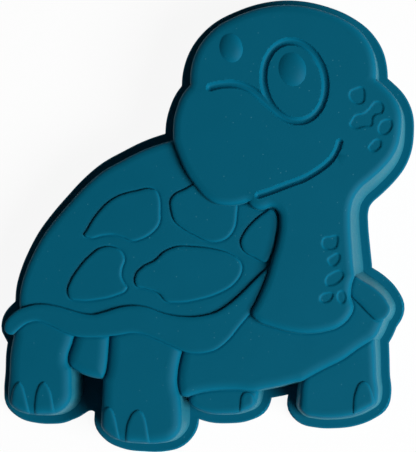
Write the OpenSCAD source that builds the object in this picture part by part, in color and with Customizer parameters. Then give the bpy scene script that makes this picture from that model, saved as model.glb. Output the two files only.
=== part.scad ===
// Turtle sand mould, mouth down on its lip, in millimetres.
// X runs to the right of the figure, Y towards its crown, Z up from the table.

/* [Overall size] */
// Width of the figure along its top edges
figure_width = 120.5; // [90:0.5:180]
// Length of the figure along its top edges
figure_length = 131.5; // [100:0.5:200]
// Thickness of the silicone
wall = 2.2; // [1.6:0.1:3]
// How far the foot of the side wall stands out from its top
wall_run = 1.3; // [0.6:0.1:2.5]
// The same beside the neck
neck_run = 3.4; // [0.6:0.1:4]

/* [Lip] */
// Width of the flat lip outside the foot of the wall
lip_width = 2.7; // [1.5:0.1:6]
// Thickness of the lip
lip_thickness = 2.4; // [1.6:0.1:4]

/* [Heights above the table] */
// Top of the two far legs
far_leg_height = 19.6; // [14:0.2:26]
// Top of the belly
belly_height = 22; // [16:0.2:28]
// Top of the shell between its plates
shell_height = 22; // [16:0.2:28]
// Top of the two near legs and of the stretch of belly between them
near_leg_height = 22.6; // [16:0.2:28]
// Top of the wavy brim and of its collar
brim_height = 23.4; // [17:0.2:30]
// Top of the head and neck
face_height = 25.6; // [18:0.2:32]

/* [Raised details] */
// Rise of the shell plates
scute_rise = 0.9; // [0.6:0.1:2]
// Rise of the claws
claw_rise = 0.7; // [0.4:0.1:1.5]
// Rise of the pupils
pupil_rise = 1.3; // [0.6:0.1:2]
// Width of the near pupil
pupil_width = 8.2; // [5:0.1:12]
// Length of the near pupil
pupil_length = 10.2; // [6:0.1:14]
// Width of the far pupil
far_pupil_width = 6.9; // [4:0.1:10]
// Length of the far pupil
far_pupil_length = 8.8; // [5:0.1:12]

/* [Sunk details] */
// Depth of the brow, mouth and eye grooves
groove_depth = 1; // [0.5:0.1:1.4]
// Width of the mouth groove
mouth_width = 1.6; // [1:0.1:3]
// Width of the brow groove
brow_width = 1.9; // [1:0.1:3]
// Width of the eye's disc
eye_width = 16.5; // [12:0.1:22]
// Length of the eye's disc
eye_length = 22.4; // [16:0.1:30]
// Width of the groove round the eye's disc
eye_groove = 1.8; // [1:0.1:3]
// Lean of the eye towards the muzzle, in degrees
eye_lean = 12; // [0:1:30]
// Depth of the cheek and neck spots
spot_depth = 0.7; // [0.3:0.1:1.4]

/* [Hidden] */
// Cuts pass this far through what they cut
overrun = 1;
// Longest straight piece of a curved edge
grain = 2.4;
// Share of the full distance that a shifted edge point has to keep from every other edge
shift_share = 0.97;
// Middle of the figure
middle_shares = [0.5019, 0.5005];
// Layers of panels, each of which lies over the ones before it
far_layer = 0;
shell_layer = 1;
belly_layer = 2;
near_layer = 3;
brim_layer = 4;
face_layer = 5;
// Heights of the layers, in that order
layer_heights = [far_leg_height, shell_height, belly_height, near_leg_height, brim_height, face_height];
// Underside of the lowest panel, on which all panels stand
seat_height = min(layer_heights) - wall;
// How far the foot stands out beside the collar and the far front leg
chest_run = (wall_run + neck_run) / 2;
// Facets round the oval details
oval_facets = 48;

// Outer edges of the figure, clockwise from the shell's meeting with the muzzle
muzzle_edge_shares = [[0.427, 0.695], [0.427, 0.715], [0.429, 0.742], [0.4375, 0.772], [0.45, 0.7975],
  [0.47, 0.82]];
skull_edge_shares = [[0.47, 0.82], [0.471, 0.852], [0.487, 0.9], [0.532, 0.95], [0.593, 0.98], [0.653, 0.997],
  [0.704, 1.002], [0.75, 0.999], [0.8, 0.988], [0.85, 0.969], [0.9, 0.934], [0.923, 0.9], [0.931, 0.87],
  [0.932, 0.832]];
cheek_edge_shares = [[0.932, 0.832], [0.955, 0.814], [0.98, 0.788], [0.993, 0.76], [0.9945, 0.72],
  [0.988, 0.6835], [0.9745, 0.656], [0.951, 0.6295], [0.9225, 0.605], [0.8925, 0.581], [0.8775, 0.5605],
  [0.87, 0.535], [0.869, 0.5], [0.872, 0.45], [0.8765, 0.4], [0.879, 0.384]];
collar_edge_shares = [[0.879, 0.384], [0.901, 0.3715], [0.93, 0.354], [0.956, 0.3285], [0.9655, 0.3075],
  [0.9615, 0.297], [0.9515, 0.287]];
belly_far_edge_shares = [[0.9515, 0.287], [0.9455, 0.271], [0.935, 0.2515], [0.9255, 0.24]];
far_front_edge_shares = [[0.9255, 0.24], [0.9285, 0.1915], [0.9305, 0.15], [0.9345, 0.11], [0.9315, 0.095],
  [0.9095, 0.079], [0.874, 0.0655], [0.83, 0.0595], [0.7855, 0.06], [0.755, 0.067], [0.7425, 0.08],
  [0.743, 0.1], [0.7455, 0.1295], [0.749, 0.144]];
belly_gap_edge_shares = [[0.749, 0.144], [0.736, 0.142], [0.6935, 0.1325], [0.651, 0.1245], [0.638, 0.1215]];
far_rear_edge_shares = [[0.638, 0.1215], [0.6355, 0.1045], [0.629, 0.087], [0.599, 0.072], [0.5555, 0.067],
  [0.512, 0.0695], [0.4805, 0.0805], [0.469, 0.0885], [0.464, 0.107]];
belly_tip_edge_shares = [[0.464, 0.107], [0.4525, 0.1075], [0.443, 0.111]];
front_leg_edge_shares = [[0.443, 0.111], [0.4465, 0.085], [0.4475, 0.062], [0.4445, 0.0325], [0.4235, 0.0095],
  [0.386, 0], [0.343, 0], [0.297, 0.005], [0.262, 0.0195], [0.2445, 0.0405], [0.2445, 0.0555], [0.2475, 0.1],
  [0.2495, 0.148]];
belly_rear_edge_shares = [[0.2495, 0.148], [0.238, 0.1485], [0.2135, 0.153], [0.1895, 0.162], [0.1695, 0.174]];
rear_leg_edge_shares = [[0.1695, 0.174], [0.171, 0.1365], [0.168, 0.0985], [0.152, 0.0785], [0.129, 0.067],
  [0.099, 0.064], [0.0685, 0.0655], [0.0325, 0.075], [0.0125, 0.093], [0.0105, 0.113], [0.0135, 0.155],
  [0.0155, 0.2005], [0.0255, 0.2505]];
tail_edge_shares = [[0.0255, 0.2505], [0.014, 0.25], [0.0035, 0.26], [0.0035, 0.27], [0.0245, 0.2975],
  [0.04, 0.307]];
shell_edge_shares = [[0.04, 0.307], [0.041, 0.35], [0.0525, 0.39], [0.072, 0.4325], [0.0965, 0.4735],
  [0.1295, 0.514], [0.167, 0.5535], [0.202, 0.588], [0.25, 0.625], [0.3, 0.6505], [0.35, 0.673],
  [0.4, 0.689], [0.427, 0.695]];

// Lower edge of the lip's web between the two near legs, and its edges under the legs
web_edge_shares = [[0.112, 0.036], [0.15, 0.0425], [0.172, 0.0505], [0.188, 0.0595], [0.1985, 0.065],
  [0.207, 0.065], [0.214, 0.06], [0.222, 0.05]];
web_hidden_shares = [[0.222, 0.05], [0.26, 0.06], [0.26, 0.13], [0.13, 0.13], [0.112, 0.07]];

// Inner edges that show on the figure
neck_edge_shares = [[0.879, 0.384], [0.869, 0.339], [0.8755, 0.3115], [0.864, 0.288], [0.837, 0.267],
  [0.8, 0.2565], [0.758, 0.2525], [0.709, 0.258], [0.669, 0.2685], [0.636, 0.281], [0.622, 0.298],
  [0.634, 0.325], [0.653, 0.364], [0.674, 0.425], [0.687, 0.468], [0.692, 0.505], [0.688, 0.53],
  [0.674, 0.5405], [0.653, 0.535], [0.639, 0.534], [0.614, 0.552]];
chin_edge_shares = [[0.614, 0.552], [0.595, 0.547], [0.563, 0.5435], [0.528, 0.5495], [0.505, 0.5645],
  [0.4815, 0.59], [0.4605, 0.618], [0.441, 0.657], [0.427, 0.695]];
brim_upper_shares = [[0.04, 0.307], [0.071, 0.3165], [0.101, 0.319], [0.134, 0.3145], [0.172, 0.305],
  [0.209, 0.2965], [0.2255, 0.2955], [0.2535, 0.3015], [0.291, 0.312], [0.333, 0.316], [0.3685, 0.3105],
  [0.4, 0.2995], [0.4425, 0.2915], [0.468, 0.2905], [0.5, 0.293], [0.53, 0.3], [0.564, 0.3185],
  [0.595, 0.3425], [0.626, 0.371], [0.6585, 0.399], [0.7, 0.425]];
brim_lower_shares = [[0.7, 0.34], [0.6205, 0.299], [0.595, 0.273], [0.561, 0.2355], [0.533, 0.216],
  [0.496, 0.2075], [0.4565, 0.2105], [0.4225, 0.224], [0.3775, 0.242], [0.3405, 0.253], [0.322, 0.2535],
  [0.289, 0.2485], [0.251, 0.2445], [0.2045, 0.2435], [0.188, 0.2445], [0.153, 0.2555], [0.115, 0.272],
  [0.085, 0.2805], [0.0615, 0.276], [0.036, 0.259], [0.0255, 0.2505]];
collar_lower_shares = [[0.9515, 0.287], [0.936, 0.2825], [0.9155, 0.2965], [0.8915, 0.3195], [0.869, 0.339],
  [0.845, 0.355], [0.845, 0.39], [0.879, 0.384]];
rear_leg_side_shares = [[0.1695, 0.174], [0.162, 0.188], [0.163, 0.2005], [0.173, 0.228], [0.185, 0.27]];
front_leg_rear_side_shares = [[0.2495, 0.148], [0.256, 0.1585], [0.261, 0.1805], [0.265, 0.219], [0.268, 0.27]];
front_leg_side_shares = [[0.443, 0.111], [0.436, 0.139], [0.437, 0.1615], [0.4405, 0.1835], [0.4465, 0.2055],
  [0.46, 0.245]];
belly_over_rear_shares = [[0.638, 0.1215], [0.6295, 0.1205], [0.5815, 0.123], [0.526, 0.1205],
  [0.49, 0.115], [0.464, 0.107]];
belly_over_front_shares = [[0.9255, 0.24], [0.887, 0.218], [0.8485, 0.193], [0.801, 0.171], [0.768, 0.1545],
  [0.749, 0.144]];

// Edges that lie hidden under higher panels
brim_end_shares = [[0.7, 0.425]];
shell_hidden_shares = [[0.427, 0.695], [0.5, 0.66], [0.66, 0.6], [0.76, 0.5], [0.72, 0.4], [0.63, 0.335],
  [0.56, 0.275], [0.5, 0.255], [0.4, 0.27], [0.31, 0.285], [0.2, 0.27], [0.1, 0.295], [0.05, 0.295]];
rear_leg_hidden_shares = [[0.0255, 0.2505], [0.07, 0.293], [0.185, 0.27]];
belly_rear_hidden_shares = [[0.185, 0.27], [0.268, 0.27]];
front_leg_hidden_shares = [[0.268, 0.27], [0.33, 0.28], [0.46, 0.245]];
belly_hidden_shares = [[0.46, 0.245], [0.55, 0.26], [0.66, 0.33], [0.8, 0.34], [0.9, 0.34], [0.945, 0.305]];
far_front_hidden_shares = [[0.749, 0.144], [0.77, 0.19], [0.83, 0.235], [0.9, 0.26]];
far_rear_hidden_shares = [[0.464, 0.107], [0.5, 0.16], [0.61, 0.16]];

// Line along which the head meets the neck, closed well outside the neck
neck_limit_shares = [[0.55, 0.52], [0.614, 0.552], [0.6395, 0.5675], [0.674, 0.578], [0.72, 0.594],
  [0.75, 0.604], [0.792, 0.6265], [0.825, 0.654], [0.842, 0.688], [0.87, 0.645], [0.93, 0.585], [1.1, 0.55],
  [1.1, 0.1], [0.5, 0.1]];

// Shell plates
scute_rear_upper_shares = [[0.204, 0.476], [0.212, 0.492], [0.23, 0.519], [0.25, 0.541], [0.273, 0.559],
  [0.3, 0.571], [0.335, 0.579], [0.367, 0.584], [0.383, 0.58], [0.392, 0.562], [0.394, 0.535],
  [0.391, 0.503], [0.372, 0.482], [0.345, 0.468], [0.323, 0.464], [0.304, 0.471], [0.28, 0.4775],
  [0.248, 0.476], [0.218, 0.4705]];
scute_middle_upper_shares = [[0.4285, 0.569], [0.4215, 0.5605], [0.419, 0.5505], [0.4205, 0.536],
  [0.431, 0.508], [0.444, 0.497], [0.484, 0.475], [0.5135, 0.4625], [0.5295, 0.461], [0.561, 0.4705],
  [0.58, 0.4945], [0.585, 0.524], [0.587, 0.545], [0.585, 0.58], [0.54, 0.61], [0.49, 0.6],
  [0.4575, 0.5835]];
scute_front_upper_shares = [[0.595, 0.4605], [0.604, 0.482], [0.625, 0.5065], [0.653, 0.5275],
  [0.671, 0.536], [0.6835, 0.5245], [0.6865, 0.5115], [0.6815, 0.469], [0.6695, 0.429], [0.66, 0.4165],
  [0.6275, 0.4275], [0.611, 0.435], [0.6005, 0.4445]];
scute_rear_lower_shares = [[0.2495, 0.4495], [0.268, 0.451], [0.2965, 0.441], [0.305, 0.424],
  [0.2975, 0.3985], [0.2965, 0.3855], [0.305, 0.3665], [0.3115, 0.3575], [0.308, 0.3515], [0.28, 0.3385],
  [0.2375, 0.3295], [0.193, 0.327], [0.167, 0.3335], [0.162, 0.3495], [0.1695, 0.373], [0.1885, 0.4005],
  [0.214, 0.4275]];
scute_middle_lower_shares = [[0.3305, 0.37], [0.3335, 0.388], [0.352, 0.406], [0.38, 0.4195],
  [0.403, 0.4385], [0.434, 0.4505], [0.476, 0.451], [0.524, 0.446], [0.5695, 0.434], [0.5935, 0.4175],
  [0.5985, 0.406], [0.597, 0.3935], [0.5795, 0.3675], [0.5385, 0.344], [0.4905, 0.33], [0.4395, 0.323],
  [0.4085, 0.326], [0.3915, 0.343], [0.3575, 0.3545], [0.3335, 0.362]];

// Claws, each an arch whose foot runs past the edge of its leg
rear_claw_outer_shares = [[0.012, 0.05], [0.0185, 0.0945], [0.0255, 0.1255], [0.0325, 0.1365],
  [0.0415, 0.142], [0.0485, 0.1345], [0.0575, 0.109], [0.0655, 0.076], [0.07, 0.05]];
rear_claw_inner_shares = [[0.08, 0.05], [0.08, 0.0925], [0.086, 0.1235], [0.093, 0.1365], [0.103, 0.142],
  [0.112, 0.1345], [0.119, 0.122], [0.127, 0.089], [0.133, 0.05]];
front_claw_outer_shares = [[0.2445, -0.02], [0.2445, 0.055], [0.2495, 0.073], [0.2555, 0.081],
  [0.2665, 0.0845], [0.275, 0.0775], [0.281, 0.064], [0.2895, 0.029], [0.297, -0.02]];
front_claw_inner_shares = [[0.3075, -0.02], [0.3085, 0.0265], [0.3115, 0.044], [0.3175, 0.0595],
  [0.326, 0.072], [0.3405, 0.0785], [0.35, 0.073], [0.356, 0.062], [0.3645, 0.0245], [0.37, -0.02]];
far_front_claw_shares = [[0.8755, 0.04], [0.8745, 0.082], [0.878, 0.1145], [0.8835, 0.1295],
  [0.8905, 0.14], [0.9025, 0.144], [0.912, 0.138], [0.92, 0.123], [0.926, 0.1035], [0.929, 0.04]];
far_rear_claw_shares = [[0.594, 0.04], [0.593, 0.0955], [0.5955, 0.109], [0.602, 0.117], [0.616, 0.117],
  [0.627, 0.109], [0.631, 0.096], [0.632, 0.04]];

// Face marks
eye_shares = [0.7295, 0.826];
pupil_shares = [0.7245, 0.8535];
far_pupil_shares = [0.5725, 0.903];
mouth_shares = [[0.6395, 0.5675], [0.674, 0.578], [0.72, 0.594], [0.75, 0.604], [0.792, 0.6265],
  [0.811, 0.64], [0.825, 0.654], [0.834, 0.6685], [0.841, 0.687]];
brow_shares = [[0.52, 0.8135], [0.5535, 0.82], [0.591, 0.819], [0.623, 0.807], [0.6555, 0.7825],
  [0.69, 0.747]];
spot_shares = [
  [[0.864, 0.7965], [0.8695, 0.806], [0.879, 0.81], [0.8975, 0.813], [0.905, 0.792], [0.8985, 0.775],
    [0.888, 0.773], [0.8765, 0.776]],
  [[0.919, 0.7705], [0.925, 0.778], [0.934, 0.781], [0.9455, 0.777], [0.951, 0.7645], [0.9465, 0.7525],
    [0.9315, 0.749], [0.926, 0.744], [0.9215, 0.724], [0.902, 0.7215], [0.879, 0.7175], [0.866, 0.725],
    [0.872, 0.741], [0.8785, 0.7485], [0.902, 0.755]],
  [[0.936, 0.722], [0.941, 0.7325], [0.95, 0.738], [0.9695, 0.738], [0.972, 0.7325], [0.966, 0.7115],
    [0.951, 0.703], [0.9375, 0.7085]],
  [[0.911, 0.675], [0.917, 0.6835], [0.933, 0.695], [0.942, 0.693], [0.9455, 0.6855], [0.939, 0.671],
    [0.9215, 0.665]],
  [[0.804, 0.4725], [0.815, 0.474], [0.837, 0.475], [0.8385, 0.466], [0.83, 0.445], [0.815, 0.443],
    [0.804, 0.4445], [0.796, 0.4575]],
  [[0.811, 0.423], [0.82, 0.4295], [0.84, 0.4355], [0.8435, 0.425], [0.84, 0.416], [0.8235, 0.405],
    [0.815, 0.41]],
  [[0.8075, 0.382], [0.817, 0.389], [0.847, 0.3955], [0.852, 0.3885], [0.842, 0.3705], [0.82, 0.361],
    [0.81, 0.361]],
  [[0.7925, 0.3385], [0.799, 0.344], [0.812, 0.347], [0.825, 0.345], [0.8235, 0.333], [0.801, 0.3225],
    [0.791, 0.328]],
  [[0.8335, 0.3385], [0.8385, 0.349], [0.85, 0.351], [0.857, 0.34], [0.8545, 0.325], [0.848, 0.32],
    [0.8395, 0.324]]];

function unit(v) = v / norm(v);

function turned(v) = [v.y, -v.x];

function backward(list) = [for (i = [len(list) - 1 : -1 : 0]) list[i]];

// A share of the figure as a point on the table
function placed(share) =
  [(share.x - middle_shares.x) * figure_width, (share.y - middle_shares.y) * figure_length];

function all_placed(shares) = [for (share = shares) placed(share)];

// Direction of the circle through three points, at the middle one
function through(a, b, c) = unit(unit(b - a) * norm(c - b) + unit(c - b) * norm(b - a));

// Direction at the end b of a circular arc that leaves a in the direction t
function mirrored(a, b, t) = 2 * (unit(b - a) * t) * unit(b - a) - t;

function direction(p, i) =
  let (last = len(p) - 1)
  last == 1 ? unit(p[1] - p[0])
  : i == 0 ? mirrored(p[0], p[1], through(p[0], p[1], p[2]))
  : i == last ? mirrored(p[last - 1], p[last], through(p[last - 2], p[last - 1], p[last]))
  : through(p[i - 1], p[i], p[i + 1]);

// Point on the smooth piece from a to b that leaves along u and arrives along v
function between(a, b, u, v, t) =
  let (reach = norm(b - a))
  (1 - 3 * t * t + 2 * t * t * t) * a + (3 * t * t - 2 * t * t * t) * b
  + reach * (t - 2 * t * t + t * t * t) * u + reach * (t * t * t - t * t) * v;

// Smooth open edge through shares, without its last point
function edge(shares) =
  let (p = all_placed(shares))
  [for (i = [0 : len(p) - 2])
    let (pieces = ceil(norm(p[i + 1] - p[i]) / grain), u = direction(p, i), v = direction(p, i + 1))
    for (k = [0 : pieces - 1]) between(p[i], p[i + 1], u, v, k / pieces)];

// Smooth closed loop through shares
function loop(shares) =
  let (p = all_placed(shares), n = len(p))
  [for (i = [0 : n - 1])
    let (a = p[i], b = p[(i + 1) % n], pieces = ceil(norm(b - a) / grain))
    let (u = through(p[(i + n - 1) % n], a, b), v = through(a, b, p[(i + 2) % n]))
    for (k = [0 : pieces - 1]) between(a, b, u, v, k / pieces)];

// A run for each point of an edge, changing evenly along it
function ramp(shares, from, to) =
  let (n = len(edge(shares)))
  [for (i = [0 : n - 1]) from + (to - from) * i / n];

// Point i of a clockwise outline, moved outwards by d
function moved(p, i, d) =
  let (n = len(p), u = unit(p[i] - p[(i + n - 1) % n]), v = unit(p[(i + 1) % n] - p[i]))
  p[i] - d * (turned(u) + turned(v)) / (1 + u * v);

function distance(q, a, b) =
  let (along = (q - a) * (b - a) / ((b - a) * (b - a)))
  norm(q - a - min(1, max(0, along)) * (b - a));

function is_clear(p, q, reach) =
  min([for (i = [0 : len(p) - 1]) distance(q, p[i], p[(i + 1) % len(p)])]) > reach * shift_share;

// Points of the figure's outline that don't fold over when the wall is drawn outwards and inwards from them
function kept_points() =
  [for (i = [0 : len(figure_outline) - 1])
    if (is_clear(figure_outline, moved(figure_outline, i, figure_runs[i]), figure_runs[i])
      && is_clear(figure_outline, moved(figure_outline, i, -wall), wall)) i];

// Both sides of a groove along a smooth line through shares
function ribbon(shares, width) =
  let (p = concat(edge(shares), [placed(shares[len(shares) - 1])]), last = len(p) - 1)
  let (side = [for (i = [0 : last]) turned(unit(p[min(i + 1, last)] - p[max(i - 1, 0)])) * width / 2])
  concat([for (i = [0 : last]) p[i] + side[i]], backward([for (i = [0 : last]) p[i] - side[i]]));

// Outlines of the panels
figure_outline = concat(edge(muzzle_edge_shares), edge(skull_edge_shares), edge(cheek_edge_shares),
  edge(collar_edge_shares), edge(belly_far_edge_shares), edge(far_front_edge_shares),
  edge(belly_gap_edge_shares), edge(far_rear_edge_shares), edge(belly_tip_edge_shares),
  edge(front_leg_edge_shares), edge(belly_rear_edge_shares), edge(rear_leg_edge_shares),
  edge(tail_edge_shares), edge(shell_edge_shares));
figure_runs = concat(ramp(muzzle_edge_shares, wall_run, wall_run),
  ramp(skull_edge_shares, wall_run, wall_run), ramp(cheek_edge_shares, wall_run, neck_run),
  ramp(collar_edge_shares, chest_run, chest_run),
  ramp(belly_far_edge_shares, chest_run, chest_run), ramp(far_front_edge_shares, chest_run, wall_run),
  ramp(belly_gap_edge_shares, wall_run, wall_run), ramp(far_rear_edge_shares, wall_run, wall_run),
  ramp(belly_tip_edge_shares, wall_run, wall_run), ramp(front_leg_edge_shares, wall_run, wall_run),
  ramp(belly_rear_edge_shares, wall_run, wall_run), ramp(rear_leg_edge_shares, wall_run, wall_run),
  ramp(tail_edge_shares, wall_run, wall_run), ramp(shell_edge_shares, wall_run, wall_run));
foot_outline = [for (i = kept_points()) moved(figure_outline, i, figure_runs[i])];
face_outline = concat(edge(muzzle_edge_shares), edge(skull_edge_shares), edge(cheek_edge_shares),
  edge(neck_edge_shares), edge(chin_edge_shares));
collar_outline = concat(edge(collar_edge_shares), edge(collar_lower_shares));
brim_outline = concat(edge(tail_edge_shares), edge(brim_upper_shares), all_placed(brim_end_shares),
  edge(brim_lower_shares));
shell_outline = concat(edge(shell_edge_shares), all_placed(shell_hidden_shares));
rear_leg_outline = concat(edge(rear_leg_edge_shares), all_placed(rear_leg_hidden_shares),
  backward(edge(rear_leg_side_shares)));
belly_rear_outline = concat(edge(belly_rear_edge_shares), edge(rear_leg_side_shares),
  all_placed(belly_rear_hidden_shares), backward(edge(front_leg_rear_side_shares)));
front_leg_outline = concat(edge(front_leg_edge_shares), edge(front_leg_rear_side_shares),
  all_placed(front_leg_hidden_shares), backward(edge(front_leg_side_shares)));
belly_outline = concat(edge(belly_far_edge_shares), edge(belly_over_front_shares), edge(belly_gap_edge_shares),
  edge(belly_over_rear_shares), edge(belly_tip_edge_shares), edge(front_leg_side_shares),
  all_placed(belly_hidden_shares));
far_front_outline = concat(edge(far_front_edge_shares), all_placed(far_front_hidden_shares));
far_rear_outline = concat(edge(far_rear_edge_shares), all_placed(far_rear_hidden_shares));
web_outline = concat(edge(web_edge_shares), all_placed(web_hidden_shares));
layers = [[far_front_outline, far_rear_outline], [shell_outline], [belly_outline],
  [rear_leg_outline, belly_rear_outline, front_leg_outline], [brim_outline, collar_outline], [face_outline]];

// True if a layer, or one under it, is at least as high as a level
function reaches(height, k) = k >= 0 && (layer_heights[k] >= height || reaches(height, k - 1));

// True if the layer has a hollow of its own over the seat, and no layer before it has the same
function has_hollow(k) =
  layer_heights[k] - wall > seat_height && search(layer_heights[k], layer_heights)[0] == k;

// Plan of a layer, also where others cover it
module layer_plan(k) {
  for (outline = layers[k]) polygon(outline);
}

// Plan of what stands at least as high as a level, built up to layer k
module level_plan(height, k) {
  if (layer_heights[k] >= height) {
    if (reaches(height, k - 1)) level_plan(height, k - 1);
    layer_plan(k);
  } else if (reaches(height, k - 1)) {
    difference() {
      level_plan(height, k - 1);
      layer_plan(k);
    }
  }
}

// The hollow under all panels that are at least as high as one level
module hollow(height) {
  translate([0, 0, seat_height - overrun])
    linear_extrude(height - wall - seat_height + overrun)
      offset(delta = -wall) level_plan(height, face_layer);
}

// Pocket inside a raised detail, so that the wall stays even under it
module pocket(height, rise) {
  translate([0, 0, height - wall - overrun])
    linear_extrude(rise + overrun)
      offset(delta = -wall) children();
}

// A panel's prism down to the seat, clear of the layers over it, with the hollow of every level cut out of it
module panel(k) {
  difference() {
    translate([0, 0, seat_height])
      linear_extrude(layer_heights[k] - seat_height)
        difference() {
          children(0);
          for (j = [k + 1 : 1 : face_layer]) layer_plan(j);
        }
    for (j = [far_layer : brim_layer]) {
      if (has_hollow(j)) hollow(layer_heights[j]);
    }
    if (has_hollow(face_layer)) sunk_hollow();
  }
}

// The face's hollow, standing clear of the marks that are sunk into the face
module sunk_hollow() {
  difference() {
    hollow(face_height);
    translate([0, 0, face_height - wall - groove_depth])
      linear_extrude(groove_depth + overrun)
        offset(delta = wall / 2) grooves_plan();
    translate([0, 0, face_height - wall - spot_depth])
      linear_extrude(spot_depth + overrun)
        offset(delta = wall / 2) spots_plan();
  }
}

module oval_plan(shares, width, length) {
  translate(placed(shares))
    rotate(eye_lean)
      scale([width / length, 1])
        circle(d = length, $fn = oval_facets);
}

module grooves_plan() {
  polygon(ribbon(mouth_shares, mouth_width));
  difference() {
    union() {
      polygon(ribbon(brow_shares, brow_width));
      oval_plan(eye_shares, eye_width + 2 * eye_groove, eye_length + 2 * eye_groove);
    }
    oval_plan(eye_shares, eye_width, eye_length);
  }
}

module spots_plan() {
  for (shares = spot_shares) polygon(loop(shares));
}

// The head and neck together, with their sunk marks
module face() {
  difference() {
    panel(face_layer) layer_plan(face_layer);
    translate([0, 0, face_height - groove_depth])
      linear_extrude(groove_depth + overrun) grooves_plan();
    translate([0, 0, face_height - spot_depth])
      linear_extrude(spot_depth + overrun) spots_plan();
  }
}

module neck_limit() {
  translate([0, 0, seat_height - overrun])
    linear_extrude(face_height - seat_height + 2 * overrun) polygon(all_placed(neck_limit_shares));
}

module scute_plan(shares) {
  difference() {
    polygon(loop(shares));
    layer_plan(face_layer);
  }
}

module scute(shares) {
  translate([0, 0, shell_height])
    linear_extrude(scute_rise) scute_plan(shares);
}

// A claw, trimmed to the outline of its leg
module claw(shares, outline, height) {
  translate([0, 0, height])
    linear_extrude(claw_rise)
      intersection() {
        polygon(edge(shares));
        polygon(outline);
      }
}

module dome(shares, width, length) {
  translate([0, 0, face_height])
    intersection() {
      translate(placed(shares))
        rotate(eye_lean)
          scale([width / length, 1, 2 * pupil_rise / length])
            sphere(d = length, $fn = oval_facets);
      linear_extrude(pupil_rise + overrun)
        translate(placed(shares))
          square(2 * length, center = true);
    }
}

module rim_lip() {
  color("#0b6b83")
    linear_extrude(lip_thickness)
      difference() {
        union() {
          offset(r = lip_width) polygon(foot_outline);
          polygon(web_outline);
        }
        offset(delta = -wall) polygon(foot_outline);
      }
}

// The drafted wall: four rings of points
module side_wall() {
  kept = kept_points();
  n = len(kept);
  rings = [[1, 0, lip_thickness], [0, 0, seat_height], [0, -wall, seat_height], [1, -wall, lip_thickness]];
  points = [for (ring = rings) for (i = kept)
    let (q = moved(figure_outline, i, ring[0] * figure_runs[i] + ring[1])) [q.x, q.y, ring[2]]];
  faces = [for (r = [0 : 3]) for (i = [0 : n - 1])
    let (j = (i + 1) % n, s = (r + 1) % 4)
    for (f = [[r * n + i, s * n + j, r * n + j], [r * n + i, s * n + i, s * n + j]]) f];
  color("#0a7690") polyhedron(points, faces);
}

module shell_panel() {
  color("#0b86a1")
    difference() {
      panel(shell_layer) polygon(shell_outline);
      pocket(shell_height, scute_rise) scute_plan(scute_front_upper_shares);
      pocket(shell_height, scute_rise) scute_plan(scute_middle_upper_shares);
      pocket(shell_height, scute_rise) scute_plan(scute_rear_upper_shares);
      pocket(shell_height, scute_rise) scute_plan(scute_middle_lower_shares);
      pocket(shell_height, scute_rise) scute_plan(scute_rear_lower_shares);
    }
}

module scute_front_upper() {
  color("#0d8ca8") scute(scute_front_upper_shares);
}

module scute_middle_upper() {
  color("#0d8ca8") scute(scute_middle_upper_shares);
}

module scute_rear_upper() {
  color("#0d8ca8") scute(scute_rear_upper_shares);
}

module scute_middle_lower() {
  color("#0d8ca8") scute(scute_middle_lower_shares);
}

module scute_rear_lower() {
  color("#0d8ca8") scute(scute_rear_lower_shares);
}

module shell_brim() {
  color("#0a7a94") panel(brim_layer) polygon(brim_outline);
}

module brim_collar() {
  color("#0a7a94") panel(brim_layer) polygon(collar_outline);
}

module head() {
  color("#0c90ad")
    difference() {
      face();
      neck_limit();
    }
}

module neck() {
  color("#0b88a4")
    intersection() {
      face();
      neck_limit();
    }
}

module pupil() {
  color("#0f9ab8") dome(pupil_shares, pupil_width, pupil_length);
}

module far_pupil() {
  color("#0f9ab8") dome(far_pupil_shares, far_pupil_width, far_pupil_length);
}

module belly_panel() {
  color("#0b86a1") panel(belly_layer) polygon(belly_outline);
}

module belly_rear() {
  color("#0b86a1") panel(near_layer) polygon(belly_rear_outline);
}

module rear_leg() {
  color("#0a7f9a") panel(near_layer) polygon(rear_leg_outline);
}

module front_leg() {
  color("#0a7f9a") panel(near_layer) polygon(front_leg_outline);
}

module far_rear_leg() {
  color("#097892") panel(far_layer) polygon(far_rear_outline);
}

module far_front_leg() {
  color("#097892") panel(far_layer) polygon(far_front_outline);
}

module rear_claw_outer() {
  color("#0f9ab8") claw(rear_claw_outer_shares, rear_leg_outline, near_leg_height);
}

module rear_claw_inner() {
  color("#0f9ab8") claw(rear_claw_inner_shares, rear_leg_outline, near_leg_height);
}

module front_claw_outer() {
  color("#0f9ab8") claw(front_claw_outer_shares, front_leg_outline, near_leg_height);
}

module front_claw_inner() {
  color("#0f9ab8") claw(front_claw_inner_shares, front_leg_outline, near_leg_height);
}

module far_rear_claw() {
  color("#0f9ab8") claw(far_rear_claw_shares, far_rear_outline, far_leg_height);
}

module far_front_claw() {
  color("#0f9ab8") claw(far_front_claw_shares, far_front_outline, far_leg_height);
}

rim_lip();
side_wall();
shell_panel();
scute_front_upper();
scute_middle_upper();
scute_rear_upper();
scute_middle_lower();
scute_rear_lower();
shell_brim();
brim_collar();
head();
neck();
pupil();
far_pupil();
belly_panel();
belly_rear();
rear_leg();
front_leg();
far_rear_leg();
far_front_leg();
rear_claw_outer();
rear_claw_inner();
front_claw_outer();
front_claw_inner();
far_rear_claw();
far_front_claw();
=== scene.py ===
"""Looks of the turtle sand mould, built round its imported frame.

The figure is a relief: every panel is the surface z(x, y) over its part of the plan, closed downwards to
the hollow, and the wall and the lip are profiles carried along the figure's outline. Lengths are in
millimetres until a mesh is made.
"""

import logging
import math
from dataclasses import dataclass, field
from enum import Enum
from functools import cached_property

import bpy
import numpy as np
from mathutils import Matrix, Vector
from mathutils.geometry import delaunay_2d_cdt


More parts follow.
